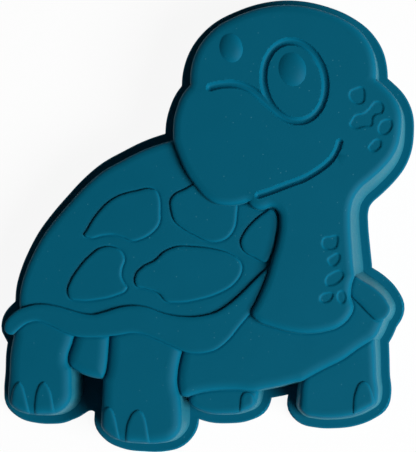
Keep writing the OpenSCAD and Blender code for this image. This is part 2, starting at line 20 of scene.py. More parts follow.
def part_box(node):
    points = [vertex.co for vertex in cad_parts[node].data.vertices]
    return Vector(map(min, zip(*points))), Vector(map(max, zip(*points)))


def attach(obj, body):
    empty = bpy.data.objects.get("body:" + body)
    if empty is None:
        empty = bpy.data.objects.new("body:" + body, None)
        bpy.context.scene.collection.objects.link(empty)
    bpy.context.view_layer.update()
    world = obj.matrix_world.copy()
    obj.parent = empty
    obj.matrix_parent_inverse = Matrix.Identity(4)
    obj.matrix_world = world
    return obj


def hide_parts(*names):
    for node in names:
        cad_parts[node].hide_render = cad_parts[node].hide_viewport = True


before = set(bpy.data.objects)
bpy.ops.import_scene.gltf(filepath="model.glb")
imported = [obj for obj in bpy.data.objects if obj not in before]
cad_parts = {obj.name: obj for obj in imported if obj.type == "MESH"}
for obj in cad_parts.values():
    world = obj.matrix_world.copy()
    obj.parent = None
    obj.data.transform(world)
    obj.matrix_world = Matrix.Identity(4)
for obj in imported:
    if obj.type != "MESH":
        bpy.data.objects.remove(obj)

LOG = logging.getLogger("sand_mould")
Array = np.ndarray
Object = bpy.types.Object
Tree = bpy.types.NodeTree
Socket = bpy.types.NodeSocket
Place = tuple[float, float, float]
Colour = tuple[float, float, float, float]
# Points in thousandths of the figure, from its lower left corner
Shares = tuple[tuple[float, float], ...]

# Size of the figure along its top edges, and the share of it that lies on the frame's origin
FIGURE = np.array((120.5, 131.5))
MIDDLE = np.array((0.5019, 0.5005))
# Thickness of the wall, how far its foot stands out, also beside the neck, and the width of the lip
WALL = 2.2
WALL_RUN = 1.3
NECK_RUN = 3.4
LIP_WIDTH = 2.7
# How far the eye and the pupils lean
EYE_LEAN = math.radians(12.0)
# Longest piece of an edge, size of the cell that keeps one point of a row, share of its reach that such a
# point keeps from every edge, and distance at which points are merged
STEP = 0.7
CELL = 0.08
ROW_SHARE = 0.96
MERGE = 1e-4
# Metres in a millimetre, millimetres in a metre, and thousandths in the whole figure
MILLIMETRE = 0.001
METRE = 1000.0
THOUSANDTHS = 1000.0
# Angle in degrees over which an edge of a mesh stays sharp
SHARP = 35.0
# Paths moved outwards: smallest divisor of a mitre, longest mitre, share of the way that stays free, and
# longest crease
MITRE_FLOOR = 0.35
MITRE_REACH = 1.5
FREE_SHARE = 0.985
CREASE_REACH = 2.5 * STEP
# Points measured at once, smallest lengths that count, sine under which lines run side by side, and a
# length that is out of reach
BLOCK = 4000
TINY = 1e-12
SLACK = 1e-6
CLOSE = 1e-3
PARALLEL = 0.05
FAR = 1e6

# Edges of the panels that show
EDGES: dict[str, Shares] = {
    "muzzle": ((427, 695), (427, 715), (429, 742), (437.5, 772), (450, 797.5), (470, 820)),
    "skull": (
        (470, 820), (471, 852), (487, 900), (532, 950), (593, 980), (653, 997), (704, 1002), (750, 999),
        (800, 988), (850, 969), (900, 934), (923, 900), (931, 870), (932, 832),
    ),
    "cheek": (
        (932, 832), (955, 814), (980, 788), (993, 760), (994.5, 720), (988, 683.5), (974.5, 656),
        (951, 629.5), (922.5, 605), (892.5, 581), (877.5, 560.5), (870, 535), (869, 500), (872, 450),
        (876.5, 400), (879, 384),
    ),
    "collar": (
        (879, 384), (901, 371.5), (930, 354), (956, 328.5), (965.5, 307.5), (961.5, 297), (951.5, 287),
    ),
    "belly_far": ((951.5, 287), (945.5, 271), (935, 251.5), (925.5, 240)),
    "far_front": (
        (925.5, 240), (928.5, 191.5), (930.5, 150), (934.5, 110), (931.5, 95), (909.5, 79), (874, 65.5),
        (830, 59.5), (785.5, 60), (755, 67), (742.5, 80), (743, 100), (745.5, 129.5), (749, 144),
    ),
    "belly_gap": ((749, 144), (736, 142), (693.5, 132.5), (651, 124.5), (638, 121.5)),
    "far_rear": (
        (638, 121.5), (635.5, 104.5), (629, 87), (599, 72), (555.5, 67), (512, 69.5), (480.5, 80.5),
        (469, 88.5), (464, 107),
    ),
    "belly_tip": ((464, 107), (452.5, 107.5), (443, 111)),
    "front_leg": (
        (443, 111), (446.5, 85), (447.5, 62), (444.5, 32.5), (423.5, 9.5), (386, 0), (343, 0), (297, 5),
        (262, 19.5), (244.5, 40.5), (244.5, 55.5), (247.5, 100), (249.5, 148),
    ),
    "belly_rear": ((249.5, 148), (238, 148.5), (213.5, 153), (189.5, 162), (169.5, 174)),
    "rear_leg": (
        (169.5, 174), (171, 136.5), (168, 98.5), (152, 78.5), (129, 67), (99, 64), (68.5, 65.5), (32.5, 75),
        (12.5, 93), (10.5, 113), (13.5, 155), (15.5, 200.5), (25.5, 250.5),
    ),
    "tail": ((25.5, 250.5), (14, 250), (3.5, 260), (3.5, 270), (24.5, 297.5), (40, 307)),
    "shell": (
        (40, 307), (41, 350), (52.5, 390), (72, 432.5), (96.5, 473.5), (129.5, 514), (167, 553.5),
        (202, 588), (250, 625), (300, 650.5), (350, 673), (400, 689), (427, 695),
    ),
    "neck": (
        (879, 384), (869, 339), (875.5, 311.5), (864, 288), (837, 267), (800, 256.5), (758, 252.5),
        (709, 258), (669, 268.5), (636, 281), (622, 298), (634, 325), (653, 364), (674, 425), (687, 468),
        (692, 505), (688, 530), (674, 540.5), (653, 535), (639, 534), (614, 552),
    ),
    "chin": (
        (614, 552), (595, 547), (563, 543.5), (528, 549.5), (505, 564.5), (481.5, 590), (460.5, 618),
        (441, 657), (427, 695),
    ),
    "brim_upper": (
        (40, 307), (71, 316.5), (101, 319), (134, 314.5), (172, 305), (209, 296.5), (225.5, 295.5),
        (253.5, 301.5), (291, 312), (333, 316), (368.5, 310.5), (400, 299.5), (442.5, 291.5), (468, 290.5),
        (500, 293), (530, 300), (564, 318.5), (595, 342.5), (626, 371), (658.5, 399), (700, 425),
    ),
    "brim_lower": (
        (700, 340), (620.5, 299), (595, 273), (561, 235.5), (533, 216), (496, 207.5), (456.5, 210.5),
        (422.5, 224), (377.5, 242), (340.5, 253), (322, 253.5), (289, 248.5), (251, 244.5), (204.5, 243.5),
        (188, 244.5), (153, 255.5), (115, 272), (85, 280.5), (61.5, 276), (36, 259), (25.5, 250.5),
    ),
    "collar_lower": (
        (951.5, 287), (936, 282.5), (915.5, 296.5), (891.5, 319.5), (869, 339), (845, 355), (845, 390),
        (879, 384),
    ),
    "rear_leg_side": ((169.5, 174), (162, 188), (163, 200.5), (173, 228), (185, 270)),
    "front_leg_rear_side": ((249.5, 148), (256, 158.5), (261, 180.5), (265, 219), (268, 270)),
    "front_leg_side": ((443, 111), (436, 139), (437, 161.5), (440.5, 183.5), (446.5, 205.5), (460, 245)),
    "belly_over_rear": ((638, 121.5), (629.5, 120.5), (581.5, 123), (526, 120.5), (490, 115), (464, 107)),
    "belly_over_front": ((925.5, 240), (887, 218), (848.5, 193), (801, 171), (768, 154.5), (749, 144)),
}

# Edges that lie under higher panels, and the line that parts the head from the neck
HIDDEN: dict[str, Shares] = {
    "brim_end": ((700, 425),),
    "shell_hidden": (
        (427, 695), (500, 660), (660, 600), (760, 500), (720, 400), (630, 335), (560, 275), (500, 255),
        (400, 270), (310, 285), (200, 270), (100, 295), (50, 295),
    ),
    "rear_leg_hidden": ((25.5, 250.5), (70, 293), (185, 270)),
    "belly_rear_hidden": ((185, 270), (268, 270)),
    "front_leg_hidden": ((268, 270), (330, 280), (460, 245)),
    "belly_hidden": ((460, 245), (550, 260), (660, 330), (800, 340), (900, 340), (945, 305)),
    "far_front_hidden": ((749, 144), (770, 190), (830, 235), (900, 260)),
    "far_rear_hidden": ((464, 107), (500, 160), (610, 160)),
    "web": ((222, 50), (260, 60), (260, 130), (130, 130), (112, 70)),
    "neck_limit": (
        (550, 520), (614, 552), (639.5, 567.5), (674, 578), (720, 594), (750, 604), (792, 626.5),
        (825, 654), (842, 688), (870, 645), (930, 585), (1100, 550), (1100, 100), (500, 100),
    ),
}

# Lower edge of the lip's web between the two near legs
WEB: Shares = (
    (112, 36), (150, 42.5), (172, 50.5), (188, 59.5), (198.5, 65), (207, 65), (214, 60), (222, 50),
)

# Shell plates
SCUTES: dict[str, Shares] = {
    "scute_front_upper": (
        (595, 460.5), (604, 482), (625, 506.5), (653, 527.5), (671, 536), (683.5, 524.5), (686.5, 511.5),
        (681.5, 469), (669.5, 429), (660, 416.5), (627.5, 427.5), (611, 435), (600.5, 444.5),
    ),
    "scute_middle_upper": (
        (428.5, 569), (421.5, 560.5), (419, 550.5), (420.5, 536), (431, 508), (444, 497), (484, 475),
        (513.5, 462.5), (529.5, 461), (561, 470.5), (580, 494.5), (585, 524), (587, 545), (585, 580),
        (540, 610), (490, 600), (457.5, 583.5),
    ),
    "scute_rear_upper": (
        (204, 476), (212, 492), (230, 519), (250, 541), (273, 559), (300, 571), (335, 579), (367, 584),
        (383, 580), (392, 562), (394, 535), (391, 503), (372, 482), (345, 468), (323, 464), (304, 471),
        (280, 477.5), (248, 476), (218, 470.5),
    ),
    "scute_middle_lower": (
        (330.5, 370), (333.5, 388), (352, 406), (380, 419.5), (403, 438.5), (434, 450.5), (476, 451),
        (524, 446), (569.5, 434), (593.5, 417.5), (598.5, 406), (597, 393.5), (579.5, 367.5), (538.5, 344),
        (490.5, 330), (439.5, 323), (408.5, 326), (391.5, 343), (357.5, 354.5), (333.5, 362),
    ),
    "scute_rear_lower": (
        (249.5, 449.5), (268, 451), (296.5, 441), (305, 424), (297.5, 398.5), (296.5, 385.5), (305, 366.5),
        (311.5, 357.5), (308, 351.5), (280, 338.5), (237.5, 329.5), (193, 327), (167, 333.5), (162, 349.5),
        (169.5, 373), (188.5, 400.5), (214, 427.5),
    ),
}

# Claws, each an arch that runs past the edge of its leg
CLAWS: dict[str, Shares] = {
    "rear_claw_outer": (
        (12, 50), (18.5, 94.5), (25.5, 125.5), (32.5, 136.5), (41.5, 142), (48.5, 134.5), (57.5, 109),
        (65.5, 76), (70, 50),
    ),
    "rear_claw_inner": (
        (80, 50), (80, 92.5), (86, 123.5), (93, 136.5), (103, 142), (112, 134.5), (119, 122), (127, 89),
        (133, 50),
    ),
    "front_claw_outer": (
        (244.5, -20), (244.5, 55), (249.5, 73), (255.5, 81), (266.5, 84.5), (275, 77.5), (281, 64),
        (289.5, 29), (297, -20),
    ),
    "front_claw_inner": (
        (307.5, -20), (308.5, 26.5), (311.5, 44), (317.5, 59.5), (326, 72), (340.5, 78.5), (350, 73),
        (356, 62), (364.5, 24.5), (370, -20),
    ),
    "far_rear_claw": (
        (594, 40), (593, 95.5), (595.5, 109), (602, 117), (616, 117), (627, 109), (631, 96), (632, 40),
    ),
    "far_front_claw": (
        (875.5, 40), (874.5, 82), (878, 114.5), (883.5, 129.5), (890.5, 140), (902.5, 144), (912, 138),
        (920, 123), (926, 103.5), (929, 40),
    ),
}

# Middle lines of the mouth and the brow
GROOVES: dict[str, Shares] = {
    "mouth": (
        (639.5, 567.5), (674, 578), (720, 594), (750, 604), (792, 626.5), (811, 640), (825, 654),
        (834, 668.5), (841, 687),
    ),
    "brow": ((520, 813.5), (553.5, 820), (591, 819), (623, 807), (655.5, 782.5), (692.5, 752)),
}

# Cheek and neck spots
SPOTS: tuple[Shares, ...] = (
    (
        (864, 796.5), (869.5, 806), (879, 810), (897.5, 813), (905, 792), (898.5, 775), (888, 773),
        (876.5, 776),
    ),
    (
        (919, 770.5), (925, 778), (934, 781), (945.5, 777), (951, 764.5), (946.5, 752.5), (931.5, 749),
        (926, 744), (921.5, 724), (902, 721.5), (879, 717.5), (866, 725), (872, 741), (878.5, 748.5),
        (902, 755),
    ),
    (
        (936, 722), (941, 732.5), (950, 738), (969.5, 738), (972, 732.5), (966, 711.5), (951, 703),
        (937.5, 708.5),
    ),
    ((911, 675), (917, 683.5), (933, 695), (942, 693), (945.5, 685.5), (939, 671), (921.5, 665)),
    (
        (804, 472.5), (815, 474), (837, 475), (838.5, 466), (830, 445), (815, 443), (804, 444.5),
        (796, 457.5),
    ),
    ((811, 423), (820, 429.5), (840, 435.5), (843.5, 425), (840, 416), (823.5, 405), (815, 410)),
    ((807.5, 382), (817, 389), (847, 395.5), (852, 388.5), (842, 370.5), (820, 361), (810, 361)),
    ((792.5, 338.5), (799, 344), (812, 347), (825, 345), (823.5, 333), (801, 322.5), (791, 328)),
    ((833.5, 338.5), (838.5, 349), (850, 351), (857, 340), (854.5, 325), (848, 320), (839.5, 324)),
)


def top_of(node: str) -> float:
    """Gives the highest Z of a CAD node, in millimetres."""
    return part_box(node)[1][2] * METRE


def placed(shares: Shares) -> Array:
    """Places points of the figure on the table, as an (n, 2) array in millimetres."""
    return (np.array(shares) / THOUSANDTHS - MIDDLE) * FIGURE


def unit(vectors: Array) -> Array:
    """Scales vectors to length 1."""
    return vectors / np.maximum(np.linalg.norm(vectors, axis=-1, keepdims=True), TINY)


def turned(x: Array, y: Array, angle: float) -> tuple[Array, Array]:
    """Turns the coordinates x and y about the origin by an angle in radians."""
    c, s = math.cos(angle), math.sin(angle)
    return x * c - y * s, x * s + y * c


def hermite(a: Array, b: Array, u: Array, v: Array, step: float) -> Array:
    """Carries a cubic from a, leaving along u, to b, arriving along v.

    Args:
        a: Start.
        b: End.
        u: Unit direction at the start.
        v: Unit direction at the end.
        step: Longest piece.

    Returns:
        The points, without the last.
    """
    reach = float(np.linalg.norm(b - a))
    count = max(1, math.ceil(reach / step))
    t = np.arange(count)[:, None] * (1.0 / count)
    return (
        (1 - 3 * t**2 + 2 * t**3) * a
        + (3 * t**2 - 2 * t**3) * b
        + reach * (t - 2 * t**2 + t**3) * u
        + reach * (t**3 - t**2) * v
    )


def curve(shares: Shares, closed: bool = False, step: float = STEP) -> Array:
    """Runs a smooth edge or loop through points, each piece a cubic along the circles through three of them.

    Args:
        shares: The points.
        closed: True for a loop.
        step: Longest piece.

    Returns:
        The points of the curve, with both ends of an edge.
    """
    p = placed(shares)
    ends = np.roll(p, -1, axis=0) if closed else p[1:]
    run = ends - p[: len(ends)]
    reach = np.linalg.norm(run, axis=1, keepdims=True)
    along = unit(run)
    turn = unit(np.roll(along, 1, axis=0) * reach + along * np.roll(reach, 1, axis=0))
    if closed:
        turn = np.vstack((turn, turn[:1]))
    else:
        first = 2 * np.dot(along[0], turn[1 % len(turn)]) * along[0] - turn[1 % len(turn)]
        last = 2 * np.dot(along[-1], turn[-1]) * along[-1] - turn[-1]
        turn = np.vstack((first, turn[1:], last))
    pieces = [hermite(p[i], ends[i], turn[i], turn[i + 1], step) for i in range(len(ends))]
    return np.vstack(pieces if closed else (*pieces, p[-1:]))


def segments(path: Array, closed: bool = False) -> Array:
    """Lists the straight pieces of a path, also the one that closes a loop, as an (m, 2, 2) array."""
    pairs = np.stack((path, np.roll(path, -1, axis=0)), axis=1)
    return pairs if closed else pairs[:-1]


def across(pieces: Array) -> Array:
    """Gives the unit vectors to the left of straight pieces."""
    along = unit(pieces[:, 1] - pieces[:, 0])
    return np.stack((-along[:, 1], along[:, 0]), axis=1)


def blocks(count: int) -> list[slice]:
    """Cuts a long array into the parts that are measured at once."""
    return [slice(start, start + BLOCK) for start in range(0, count, BLOCK)]


def distance(points: Array, pieces: Array) -> Array:
    """Measures how far points lie from the nearest of many straight pieces.

    Args:
        points: An (n, 2) array.
        pieces: An (m, 2, 2) array.

    Returns:
        The n distances.
    """
    a = pieces[:, 0]
    d = pieces[:, 1] - a
    square = np.maximum((d**2).sum(axis=1), TINY)
    found = np.empty(len(points))
    for part in blocks(len(points)):
        q = points[part, None] - a
        t = np.clip((q * d).sum(axis=2) / square, 0.0, 1.0)
        found[part] = np.sqrt(((q - t[..., None] * d) ** 2).sum(axis=2).min(axis=1))
    return found


def inside(points: Array, polygon: Array) -> Array:
    """Tells which points lie inside a polygon, by counting the edges to their right.

    Args:
        points: An (n, 2) array.
        polygon: An (m, 2) array.

    Returns:
        n truth values.
    """
    a = polygon
    b = np.roll(polygon, -1, axis=0)
    rise = np.where(b[:, 1] == a[:, 1], 1.0, b[:, 1] - a[:, 1])
    found = np.empty(len(points), dtype=bool)
    for part in blocks(len(points)):
        q = points[part, None]
        spans = (a[:, 1] > q[..., 1]) != (b[:, 1] > q[..., 1])
        cross = a[:, 0] + (q[..., 1] - a[:, 1]) * (b[:, 0] - a[:, 0]) / rise
        found[part] = (spans & (q[..., 0] < cross)).sum(axis=1) % 2 == 1
    return found


def smooth(x: Array) -> Array:
    """Rises smoothly from 0 to 1 as x does."""
    x = np.clip(x, 0.0, 1.0)
    return x * x * (3 - 2 * x)


def fillet(d: Array, width: float, depth: float) -> Array:
    """Gives how far a surface has dropped at a distance d from its edge: a quarter of an ellipse."""
    t = 1.0 - np.clip(d / width, 0.0, 1.0)
    return depth * (1.0 - np.sqrt(np.clip(1.0 - t * t, 0.0, 1.0)))


def normals_of(path: Array) -> Array:
    """Gives the outward mitred normal at each point of a closed clockwise path.

    Args:
        path: An (n, 2) array.

    Returns:
        An (n, 2) array, longer than 1 where the path bends.
    """
    into = unit(path - np.roll(path, 1, axis=0))
    out = unit(np.roll(path, -1, axis=0) - path)
    left = np.stack((-(into + out)[:, 1], (into + out)[:, 0]), axis=1)
    return left / (1 + (into * out).sum(axis=1, keepdims=True)).clip(MITRE_FLOOR)


def crossing(a: Array, b: Array, c: Array, d: Array) -> Array:
    """Finds where the line through a and b crosses the line through c and d.

    Args:
        a: A point of the first line.
        b: Another point of it.
        c: A point of the second line.
        d: Another point of it.

    Returns:
        The crossing, or a point far away if the lines run side by side.
    """
    u, v = unit(b - a), unit(d - c)
    turn = u[0] * v[1] - u[1] * v[0]
    if abs(turn) < PARALLEL:
        return np.full(2, FAR)
    w = c - a
    return a + u * (w[0] * v[1] - w[1] * v[0]) / turn


def shifted(path: Array, offset: Array) -> Array:
    """Moves a closed path outwards, with what would fold over drawn together into the crease.

    Args:
        path: An (n, 2) array, clockwise.
        offset: How far each point moves; less than 0 is inwards.

    Returns:
        As many points.
    """
    n = len(path)
    moved = path + normals_of(path) * offset[:, None]
    gap = np.linalg.norm(moved[:, None] - path, axis=2) - np.abs(offset) * FREE_SHARE
    near = np.linalg.norm(moved - path, axis=1) <= np.abs(offset) * MITRE_REACH + SLACK
    kept = np.flatnonzero((gap.min(axis=1) > -SLACK) & near)
    found = np.stack([np.interp(np.arange(n), kept, moved[kept, k], period=n) for k in (0, 1)], axis=1)
    for start, end in zip(kept, np.roll(kept, -1)):
        lost = np.arange(start + 1, start + 1 + (end - start - 1) % n) % n
        if len(lost):
            crease = crossing(moved[start - 1], moved[start], moved[(end + 1) % n], moved[end])
            if max(np.linalg.norm(crease - moved[start]), np.linalg.norm(crease - moved[end])) < CREASE_REACH:
                found[lost] = crease
    return found


def meshed(pieces: Array, sites: Array) -> tuple[Array, Array]:
    """Triangulates a plan so that straight pieces stay edges.

    Args:
        pieces: An (m, 2, 2) array.
        sites: More points, as an (n, 2) array.

    Returns:
        The points, with any crossings added, and the triangles as indices.
    """
    pieces = pieces[np.linalg.norm(pieces[:, 1] - pieces[:, 0], axis=1) > CLOSE]
    corners = pieces.reshape(-1, 2)
    joins = np.arange(len(corners)).reshape(-1, 2)
    points = [Vector(point) for point in np.vstack((corners, sites)).tolist()]
    out = delaunay_2d_cdt(points, joins.tolist(), [], 0, MERGE, False)
    return np.array([(v.x, v.y) for v in out[0]]), np.array(out[2], dtype=int)


def rows_beside(pieces: Array, reaches: list[float]) -> Array:
    """Sets rows of points beside straight pieces, on both sides, where no other piece is nearer.

    Args:
        pieces: An (m, 2, 2) array.
        reaches: Distances of the rows.

    Returns:
        An (n, 2) array.
    """
    middle, side = pieces.mean(axis=1), across(pieces)
    rows = np.vstack([middle + side * reach * way for reach in reaches for way in (1, -1)])
    wanted = np.repeat(reaches, 2 * len(pieces))
    return rows[distance(rows, pieces) > wanted * ROW_SHARE]


def hexes(low: Array, high: Array, step: float) -> Array:
    """Fills a box with evenly staggered points.

    Args:
        low: Lowest corner.
        high: Highest corner.
        step: Distance between neighbours.

    Returns:
        An (n, 2) array.
    """
    x = np.arange(low[0], high[0], step)
    y = np.arange(low[1], high[1], step * math.sqrt(0.75))
    grid = np.stack(np.meshgrid(x, y), axis=-1)
    grid[1::2, :, 0] += step / 2
    return grid.reshape(-1, 2)


def thinned(points: Array, step: float) -> Array:
    """Keeps one point in each cell of a square grid."""
    _, first = np.unique(np.floor(points / step).astype(int), axis=0, return_index=True)
    return points[np.sort(first)]


def edges_of(faces: Array) -> tuple[Array, Array]:
    """Finds the open edges of a flat mesh.

    Args:
        faces: Triangles as indices, all turning the same way.

    Returns:
        The starts and ends of the edges that only one triangle has, in its direction.
    """
    a = faces.ravel()
    b = np.roll(faces, -1, axis=1).ravel()
    size = int(faces.max()) + 1
    single = ~np.isin(a * size + b, b * size + a)
    return a[single], b[single]


def rings_mesh(rings: list[Array], closed: bool) -> tuple[Array, Array]:
    """Joins closed rings of points into a tube.

    Args:
        rings: (n, 3) arrays.
        closed: True if the tube runs back into its first ring.

    Returns:
        The points and the four-sided faces.
    """
    count, size = len(rings), len(rings[0])
    r, i = np.meshgrid(np.arange(count if closed else count - 1), np.arange(size), indexing="ij")
    s, j = (r + 1) % count, (i + 1) % size
    faces = np.stack((r * size + i, r * size + j, s * size + j, s * size + i), axis=-1).reshape(-1, 4)
    return np.vstack(rings), faces


def make(name: str, points: Array, faces: list[Array], sharp: float = SHARP) -> Object:
    """Makes an object of points and faces.

    Args:
        name: CAD node that it stands for.
        points: An (n, 3) array, in millimetres.
        faces: Arrays of indices, three or four to a face.
        sharp: Angle in degrees over which an edge stays sharp.

    Returns:
        The object, in the scene.
    """
    name = f"{name}_skin"
    mesh = bpy.data.meshes.new(name)
    mesh.from_pydata(points * MILLIMETRE, [], [face for block in faces for face in block.tolist()])
    mesh.validate()
    mesh.shade_smooth()
    mesh.set_sharp_from_angle(angle=math.radians(sharp))
    piece = bpy.data.objects.new(name, mesh)
    bpy.context.scene.collection.objects.link(piece)
    return piece


def solid(name: str, plan: Array, faces: Array, top: Array, foot: Array, sharp: float = SHARP) -> Object:
    """Makes a closed solid between two surfaces over the same plan.

    Args:
        name: CAD node that it stands for.
        plan: An (n, 2) array.
        faces: Triangles of the plan.
        top: Heights of the upper surface.
        foot: An (n, 3) array of the lower surface.
        sharp: Angle in degrees over which an edge stays sharp.

    Returns:
        The object.
    """
    used, index = np.unique(faces, return_inverse=True)
    faces = index.reshape(-1, 3)
    n = len(used)
    a, b = edges_of(faces)
    points = np.vstack((np.column_stack((plan[used], top[used])), foot[used]))
    sides = np.stack((b, a, a + n, b + n), axis=1)
    return make(name, points, [faces, faces[:, ::-1] + n, sides], sharp)


def add(tree: Tree, kind: str, inputs: dict[str | int, object], **settings: str) -> bpy.types.Node:
    """Adds a node to a tree.

    Args:
        tree: The tree.
        kind: Type of the node, without the word ShaderNode.
        inputs: A number, a colour or the socket to join, by the input's name or index.
        settings: Properties of the node, which are set first.

    Returns:
        The node.
    """
    node = tree.nodes.new(f"ShaderNode{kind}")
    for key, value in settings.items():
        setattr(node, key, value)
    for key, value in inputs.items():
        if isinstance(value, Socket):
            tree.links.new(value, node.inputs[key])
        else:
            node.inputs[key].default_value = value
    return node


def ramp(tree: Tree, value: Socket, span: tuple[float, float], limits: dict[str, object]) -> Socket:
    """Adds a node that turns a value from 0 to 1 over a span, or between the limits To Min and To Max."""
    inputs = {"Value": value, "From Min": span[0], "From Max": span[1], **limits}
    return add(tree, "MapRange", inputs).outputs["Result"]


def cleared(owner: bpy.types.Material | bpy.types.World) -> Tree:
    """Gives a material or a world an empty node tree.

    Args:
        owner: The material or world.

    Returns:
        The tree.
    """
    owner.use_nodes = True
    owner.node_tree.nodes.clear()
    return owner.node_tree


class Rounding(Enum):
    """Width and depth of the rounded edge of a kind of panel."""

    LOW = (2.2, 1.5)
    BELLY = (3.2, 1.9)
    LEG = (3.6, 2.3)
    BRIM = (1.5, 0.6)
    FACE = (2.6, 2.0)


class Kind(Enum):
    """What stands on a panel: rise, width and depth of the soft edge, and longest piece of the border."""

    SCUTE = (0.9, 1.0, 0.6, 0.5)
    CLAW = (0.7, 1.0, 0.7, 0.4)


@dataclass(frozen=True)
class Plate:
    """One panel of the figure.

    Attributes:
        node: CAD node that it stands for.
        rounding: Rounding along the shown edges.
        shown: Edges that show, by name.
        outline: Edges of the whole outline, in order; a minus sign turns one round.
    """

    node: str
    rounding: Rounding
    shown: tuple[str, ...]
    outline: tuple[str, ...]

    @cached_property
    def height(self) -> float:
        """Top of the panel in the CAD frame."""
        return top_of(self.node)

    @cached_property
    def polygon(self) -> Array:
        """The whole outline as a polygon.

        Returns:
            An (n, 2) array.
        """
        parts = []
        for name in self.outline:
            key = name.lstrip("-")
            path = placed(HIDDEN[key]) if key in HIDDEN else curve(EDGES[key])[:-1]
            parts.append(path if key == name else path[::-1])
        return np.vstack(parts)

    @cached_property
    def pieces(self) -> Array:
        """Straight pieces of the shown edges."""
        return np.vstack([segments(curve(EDGES[name])) for name in self.shown])

    def surface(self, plan: Array) -> Array:
        """Gives the panel's height over a plan: flat, and rounded down towards its shown edges."""
        return self.height - fillet(distance(plan, self.pieces), *self.rounding.value)


FACE = ("muzzle", "skull", "cheek", "neck", "chin")
BELLY = ("belly_far", "belly_over_front", "belly_gap", "belly_over_rear", "belly_tip", "front_leg_side")
# From the lowest layer to the highest: a later plate covers the ones before it
PLATES = (
    Plate("far_front_leg", Rounding.LOW, ("far_front",), ("far_front", "far_front_hidden")),
    Plate("far_rear_leg", Rounding.LOW, ("far_rear",), ("far_rear", "far_rear_hidden")),
    Plate("shell_panel", Rounding.LOW, ("shell",), ("shell", "shell_hidden")),
    Plate("belly_panel", Rounding.BELLY, BELLY, (*BELLY, "belly_hidden")),
    Plate(
        "rear_leg",
        Rounding.LEG,
        ("rear_leg", "rear_leg_side"),
        ("rear_leg", "rear_leg_hidden", "-rear_leg_side"),
    ),
    Plate(
        "belly_rear",
        Rounding.LEG,
        ("belly_rear", "rear_leg_side", "front_leg_rear_side"),
        ("belly_rear", "rear_leg_side", "belly_rear_hidden", "-front_leg_rear_side"),
    ),
    Plate(
        "front_leg",
        Rounding.LEG,
        ("front_leg", "front_leg_rear_side", "front_leg_side"),
        ("front_leg", "front_leg_rear_side", "front_leg_hidden", "-front_leg_side"),
    ),
    Plate(
        "shell_brim",
        Rounding.BRIM,
        ("tail", "brim_upper", "brim_lower"),
        ("tail", "brim_upper", "brim_end", "brim_lower"),
    ),
    Plate("brim_collar", Rounding.BRIM, ("collar", "collar_lower"), ("collar", "collar_lower")),
    Plate("head", Rounding.FACE, FACE, FACE),
    Plate("neck", Rounding.FACE, FACE, ("neck_limit",)),
)
OUTLINE = (
    "muzzle", "skull", "cheek", "collar", "belly_far", "far_front", "belly_gap", "far_rear", "belly_tip",
    "front_leg", "belly_rear", "rear_leg", "tail", "shell",
)
# How far the wall's foot stands out at the start and the end of an edge, where that isn't WALL_RUN
CHEST_RUN = (WALL_RUN + NECK_RUN) / 2
RUNS = {
    "cheek": (WALL_RUN, NECK_RUN),
    "collar": (CHEST_RUN, CHEST_RUN),
    "belly_far": (CHEST_RUN, CHEST_RUN),
    "far_front": (CHEST_RUN, WALL_RUN),
}


@dataclass(frozen=True)
class Marks:
    """The grooves and spots that are sunk into the face."""

    groove_depth: float = 1.15
    groove_soft: float = 0.25
    groove_power: float = 0.75
    mouth_width: float = 1.6
    brow_width: float = 1.9
    eye_groove: float = 1.8
    eye: tuple[float, float] = (16.5, 22.4)
    eye_place: Shares = ((729.5, 826),)
    spot_depth: float = 0.55
    spot_out: float = 0.15
    spot_side: float = 0.6

    def outside_eye(self, plan: Array) -> Array:
        """Measures how far points lie outside the eye's disc, on the line from its middle.

        Args:
            plan: An (n, 2) array.

        Returns:
            The distances, less than 0 inside.
        """
        q = np.stack(turned(*(plan - placed(self.eye_place)).T, -EYE_LEAN), axis=1)
        share = np.linalg.norm(q / (np.array(self.eye) / 2), axis=1)
        return (1.0 - 1.0 / np.maximum(share, SLACK)) * np.linalg.norm(q, axis=1)

    def depth(self, plan: Array) -> tuple[Array, Array]:
        """Gives how deep the marks are: round-bottomed grooves along lines, and spots with soft sides.

        Args:
            plan: An (n, 2) array.

        Returns:
            The depths, and how far outside the nearest mark each point lies.
        """
        out = self.outside_eye(plan)
        ring = np.abs(out - self.eye_groove / 2)
        mouth, brow = (distance(plan, segments(curve(GROOVES[name]))) for name in ("mouth", "brow"))
        brow = np.where(out < self.eye_groove / 2, FAR, brow)
        depth = np.zeros(len(plan))
        reach = np.full(len(plan), FAR)
        for line, width in ((ring, self.eye_groove), (mouth, self.mouth_width), (brow, self.brow_width)):
            gap = line - width / 2 - self.groove_soft
            share = 1.0 + gap / (width / 2 + self.groove_soft)
            bowl = np.clip(1.0 - share**2, 0.0, 1.0) ** self.groove_power
            depth = np.maximum(depth, self.groove_depth * bowl)
            reach = np.minimum(reach, gap)
        for shares in SPOTS:
            loop = curve(shares, True)
            d = distance(plan, segments(loop, True))
            d = np.where(inside(plan, loop), d, -d)
            depth = np.maximum(depth, self.spot_depth * smooth((d + self.spot_out) / self.spot_side))
            reach = np.minimum(reach, -d - self.spot_out)
        return depth, reach


class SubAssembly:
    """Pieces of the mould that are built together, each named after the CAD node that it stands for."""

    def build(self) -> list[Object]:
        """Makes the pieces."""
        raise NotImplementedError

    def dress(self, piece: Object, rubber: bpy.types.Material) -> None:
        """Gives a piece its finish, and ties it to its body and its CAD node.

        Args:
            piece: The piece.
            rubber: Material of the moulding.
        """
        piece.data.materials.append(rubber)
        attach(piece, "root")
        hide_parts(piece.name.removesuffix("_skin"))


